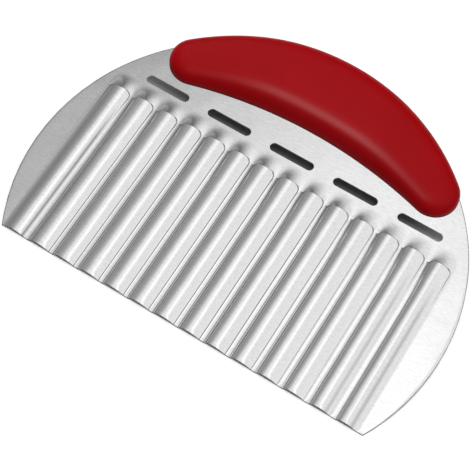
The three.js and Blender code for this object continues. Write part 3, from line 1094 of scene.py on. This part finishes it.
# %% Hang the softbox
CARD_HEIGHT = 511 * MM
CARD_LEFT = -340 * MM
CARD_RIGHT = 1000 * MM
CARD_FRONT = -200 * MM
CARD_BACK = 1000 * MM
card_size = Vector((CARD_RIGHT - CARD_LEFT, CARD_BACK - CARD_FRONT, 1))
card_middle = Vector((CARD_LEFT + CARD_RIGHT, CARD_FRONT + CARD_BACK, 2 * CARD_HEIGHT)) / 2
bpy.ops.object.select_all(action="DESELECT")
bpy.ops.mesh.primitive_plane_add(size=1)
softbox = bpy.context.object
softbox.name = "softbox"
softbox.matrix_world = laid @ Matrix.Translation(card_middle) @ Matrix.Diagonal((*card_size, 1))
softbox.visible_camera = False
softbox.visible_diffuse = False
softbox.visible_transmission = False
softbox.visible_shadow = False
print("softbox is", [round(side, 2) for side in card_size.xy], "m")

# %% Light the softbox
CARD_GLOW = (
    (-340, 0.48), (-266, 0.53), (-195, 0.69), (-144, 0.85), (-104, 0.90), (-23, 0.90), (200, 0.87),
    (900, 0.92),
)
STRIP_GLOW = ((-43, 0), (-25, 0.14), (-7, 0.28), (40, 0.31), (75, 0.40), (110, 0.22), (135, 0))
STRIP_END = ((285, 1), (350, 0.1))
BACK_FADE = ((430, 1), (640, 0.3))
SLANT = 0.5
SLANT_MIDDLE = 190
card_glow, tree, shader = finish("card_glow")
tree.nodes.remove(shader)
place = add_node(tree, "ShaderNodeTexCoord").outputs["Object"]


def on_card(tree, weights, offset, stops):
    # The stops are millimetres in the blade's own frame, along the direction of the weights.
    weighted = add_node(tree, "ShaderNodeVectorMath", {"operation": "DOT_PRODUCT"})
    weighted.inputs[1].default_value = (weights[0] * card_size.x, weights[1] * card_size.y, 0)
    tree.links.new(place, weighted.inputs[0])
    middle = weights[0] * card_middle.x + weights[1] * card_middle.y + offset * MM
    first, last = stops[0][0] * MM, stops[-1][0] * MM
    share = remap(tree, weighted.outputs["Value"], 0, 1, (first - middle, last - middle))
    return ramp(tree, share, *[((at * MM - first) / (last - first), glow) for at, glow in stops])


across_card = on_card(tree, (1, 0), 0, CARD_GLOW)
strip = on_card(tree, (1, SLANT), -SLANT * SLANT_MIDDLE, STRIP_GLOW)
strip_end = on_card(tree, (0, 1), 0, STRIP_END)
back_fade = on_card(tree, (-SLANT, 1), 0, BACK_FADE)
total = mixed(tree, "ADD", across_card, mixed(tree, "MULTIPLY", strip, strip_end))
faded = mixed(tree, "MULTIPLY", total, back_fade)
lamp = add_node(tree, "ShaderNodeEmission", Color=faded, Strength=1)
tree.links.new(lamp.outputs["Emission"], tree.nodes["Material Output"].inputs["Surface"])
softbox.data.materials.append(card_glow)
print("softbox glow:", card_glow.name)

# %% [markdown]
# ## The lamps
# The grip is lit from above, so that its face is bright and its lower wall dark, and it shows one soft
# streak along the roll of its lower edge, strongest in the middle. One lamp could do both, but it
# would also wash out the steel. So a wide ceiling lamp gives the shading and no reflection, and a
# small one close above the grip gives the streak and no shading. A third, behind the left end, lifts
# the far rim. The last two are linked to the two shells, so the steel doesn't show them. The shells in
# turn are hidden from reflections, because the real plate is too dull to mirror their red.

# %% Hang the lamps
CEILING_PLACE = (0, 40, 1100)
CEILING_SIZE = 0.8
CEILING_RADIANCE = 1.25
STREAK_PLACE = (-9, 73, 105)
STREAK_SIZE = 0.06
STREAK_RADIANCE = 27
BACK_PLACE = (-350, 450, 350)
BACK_SIZE = 0.3
BACK_RADIANCE = 5.5


def hang_lamp(name, place, size, radiance):
    bpy.ops.object.select_all(action="DESELECT")
    bpy.ops.object.light_add(type="AREA")
    lamp = bpy.context.object
    lamp.name = name
    lamp.data.size = size
    lamp.data.energy = radiance * size**2 * math.pi
    lamp.matrix_world = laid @ Matrix.Translation(Vector(place) * MM)
    lamp.visible_camera = False
    print(name, "of", round(lamp.data.energy, 2), "watts")
    return lamp


ceiling_lamp = hang_lamp("ceiling_lamp", CEILING_PLACE, CEILING_SIZE, CEILING_RADIANCE)
ceiling_lamp.visible_glossy = False
streak_lamp = hang_lamp("streak_lamp", STREAK_PLACE, STREAK_SIZE, STREAK_RADIANCE)
streak_lamp.visible_diffuse = False
streak_lamp.data.cycles.max_bounces = 0
streak_lamp.data.cycles.use_multiple_importance_sampling = False
back_lamp = hang_lamp("back_lamp", BACK_PLACE, BACK_SIZE, BACK_RADIANCE)
back_lamp.visible_glossy = False

# %% Link the lamps to the grip
grip_alone = bpy.data.collections.new("grip_alone")
for piece in (front_shell, back_shell):
    grip_alone.objects.link(piece)
    piece.visible_glossy = False
for lamp in (streak_lamp, back_lamp):
    lamp.light_linking.receiver_collection = grip_alone
    print(lamp.name, "lights the grip alone")

# %% [markdown]
# ## Finish
# Colours are shown as they are, with no film look.

# %% Finish
bpy.context.scene.view_settings.view_transform = "Standard"
bpy.context.view_layer.update()
